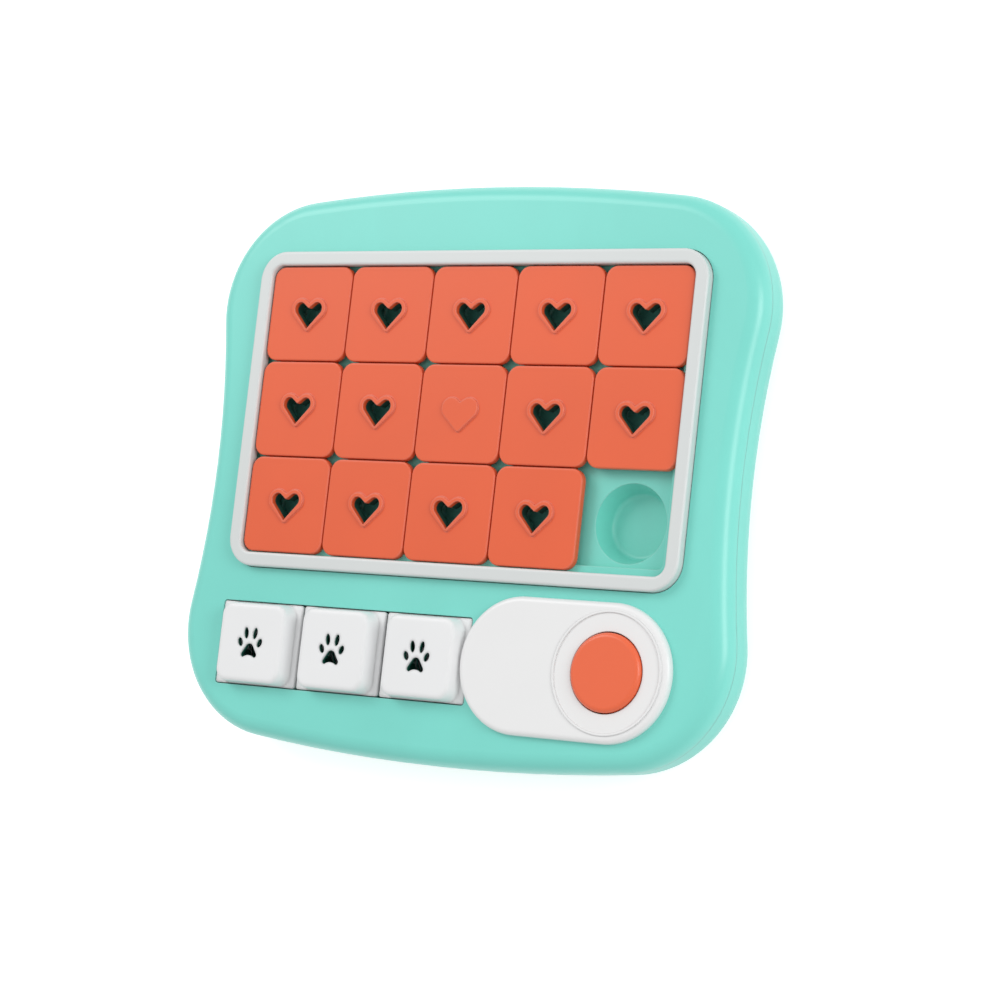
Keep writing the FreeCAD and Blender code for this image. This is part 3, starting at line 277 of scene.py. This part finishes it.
# Key well: mint tub screwed up under the keys, with a rib between two keys and a collar for each spring.
# It only shows through the paw-shaped holes and the gaps beside the keys.
# It takes the tray's darker mint, which is painted shade.
dress("key_well", mint_tray_in_painted_shade)

# Key springs: cylindrical coils of bright steel wire, each standing round a collar of the key well.
# The tube inside its key presses a spring shorter, and the spring brings the key up again.
SIDES = ("left", "middle", "right")


def shorten(node, material):
    """A copy of an elastic node, with a mesh of its own, fixed to the base in place of the node."""
    solid = dress(node, material)
    bpy.context.view_layer.update()
    piece = bpy.data.objects.new(node + "_elastic", solid.data.copy())
    piece.matrix_world = solid.matrix_world.copy()
    bpy.context.collection.objects.link(piece)
    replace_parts(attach(piece, "base"), node)
    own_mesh(piece)


for side in SIDES:
    shorten(f"key_spring_{side}", steel)

# Keys: three hollow white plastic caps on flanges, with a drafted edge and a paw-shaped hole.
# They travel straight down into the key well and spring back.
KEY_PITCH = 0.0411
KEY_ROW_MIDDLE = (-0.0458, -0.075)
PAW_REACH = (0.0072, 0.0080)
PAW_SHADE_TOP = 0.0341
PAW_SHADE = (0.012, 0.120, 0.082, 1.0)
key_white = plastic(
    "key_white_plastic", colour=(0.80, 0.805, 0.81, 1.0), roughness=0.34,
    mottle=0.012, edge=0.1, soft=0.0022)
shade_holes(key_white, KEY_ROW_MIDDLE, KEY_PITCH, PAW_REACH, PAW_SHADE_TOP, PAW_SHADE)
for side in SIDES:
    dress(f"key_{side}", key_white)

# Button plate: rounded white plastic plate on the deck, with a thin raised ring round the button.
# Two pegs under it go through the deck.
plate_white = plastic("plate_white_plastic", colour=(0.80, 0.80, 0.80, 1.0), roughness=0.36, mottle=0.012)
dress("button_plate", plate_white)

# Squeaker button: orange plastic cap with a rounded edge, kept in by its flange under the deck.
# It travels straight down onto the squeaker.
button_orange = plastic(
    "button_orange_plastic", colour=(0.800, 0.130, 0.045, 1.0), roughness=0.34, mottle=0.02)
dress("squeaker_button", button_orange)

# Squeaker: soft rubber bellows that stands in the socket of the back shell, a small whistle in its neck.
# The button presses it shorter, and it springs back.
bellows_rubber = plastic("bellows_rubber", colour=(0.72, 0.70, 0.64, 1.0), roughness=0.55, coat=0.0)
shorten("squeaker_bellows", bellows_rubber)
dress("squeaker_reed", plate_white)

# Floor: a wide plain pale sheet under the toy, which keeps the toy's shadow.
# The camera and glossy surfaces see it with a glow of its own, so that it comes out white.
FLOOR_HALF = 6.0
FLOOR_PALE = (0.82, 0.82, 0.82, 1.0)
FLOOR_ROUGHNESS = 0.9
FLOOR_GLOW = 0.55
floor_mesh = bpy.data.meshes.new("floor")
floor_mesh.from_pydata([(-FLOOR_HALF, -FLOOR_HALF, 0), (FLOOR_HALF, -FLOOR_HALF, 0),
                        (FLOOR_HALF, FLOOR_HALF, 0), (-FLOOR_HALF, FLOOR_HALF, 0)], [], [(0, 1, 2, 3)])
floor = bpy.data.objects.new("floor", floor_mesh)
bpy.context.collection.objects.link(floor)
floor_white = bpy.data.materials.new("floor_white")
floor_white.use_nodes = True
floor_tree = floor_white.node_tree
floor_shader = floor_tree.nodes["Principled BSDF"]
floor_shader.inputs["Base Color"].default_value = FLOOR_PALE
floor_shader.inputs["Roughness"].default_value = FLOOR_ROUGHNESS
floor_shader.inputs["Specular IOR Level"].default_value = 0.0
floor_glow = add_node(floor_tree, "Emission", {"Color": WHITE, "Strength": FLOOR_GLOW})
floor_lit = add_node(floor_tree, "AddShader")
floor_choice = add_node(floor_tree, "MixShader")
rays = add_node(floor_tree, "LightPath").outputs
floor_seen = work_out(floor_tree, "MAXIMUM", rays["Is Camera Ray"], rays["Is Glossy Ray"])
floor_out = floor_tree.nodes["Material Output"]
floor_tree.links.new(floor_shader.outputs[0], floor_lit.inputs[0])
floor_tree.links.new(floor_glow.outputs[0], floor_lit.inputs[1])
floor_tree.links.new(floor_seen, floor_choice.inputs[0])
floor_tree.links.new(floor_shader.outputs[0], floor_choice.inputs[1])
floor_tree.links.new(floor_lit.outputs[0], floor_choice.inputs[2])
floor_tree.links.new(floor_choice.outputs[0], floor_out.inputs["Surface"])
floor_mesh.materials.append(floor_white)

# Light: an even white surround and two broad soft lamps that look at the toy's middle,
# one from the upper left and a weaker one from the right.
LAMP_TARGET = (0.0, 0.0, 0.03)
SURROUND_STRENGTH = 0.70


def soft_lamp(name, place, size, power):
    """A square area lamp that looks at the toy."""
    lamp = bpy.data.objects.new(name, bpy.data.lights.new(name, "AREA"))
    lamp.data.energy = power
    lamp.data.size = size
    lamp.location = place
    lamp.rotation_euler = (Vector(LAMP_TARGET) - Vector(place)).to_track_quat("-Z", "Y").to_euler()
    bpy.context.collection.objects.link(lamp)


soft_lamp("lamp_left", place=(-1.1, 0.9, 1.3), size=0.9, power=11.0)
soft_lamp("lamp_right", place=(1.4, 0.3, 0.7), size=0.7, power=9.0)
world = bpy.data.worlds.new("surround")
bpy.context.scene.world = world
world.use_nodes = True
world.node_tree.nodes["Background"].inputs["Color"].default_value = WHITE
world.node_tree.nodes["Background"].inputs["Strength"].default_value = SURROUND_STRENGTH

# Camera: looks down at the toy from its right and a little from its key row's side.
# It is rolled so that the key row lies at the bottom of the picture.
CAMERA_PLACE = Vector((0.6110, -0.1222, 0.9520))
CAMERA_TARGET = Vector((0.02336, -0.01099, 0.0300))
CAMERA_ROLL = math.radians(-74.577)
CAMERA_LENS = 100.998
camera = bpy.data.objects.new("camera", bpy.data.cameras.new("camera"))
bpy.context.collection.objects.link(camera)
camera.data.sensor_width = 36.0
camera.data.lens = CAMERA_LENS
camera.data.clip_start = 0.01
camera.data.clip_end = 50.0
looking = (CAMERA_TARGET - CAMERA_PLACE).to_track_quat("-Z", "Y").to_matrix()
rolled = looking @ Matrix.Rotation(CAMERA_ROLL, 3, "Z")
camera.matrix_world = Matrix.Translation(CAMERA_PLACE) @ rolled.to_4x4()
bpy.context.scene.camera = camera
bpy.context.scene.view_settings.view_transform = "Standard"
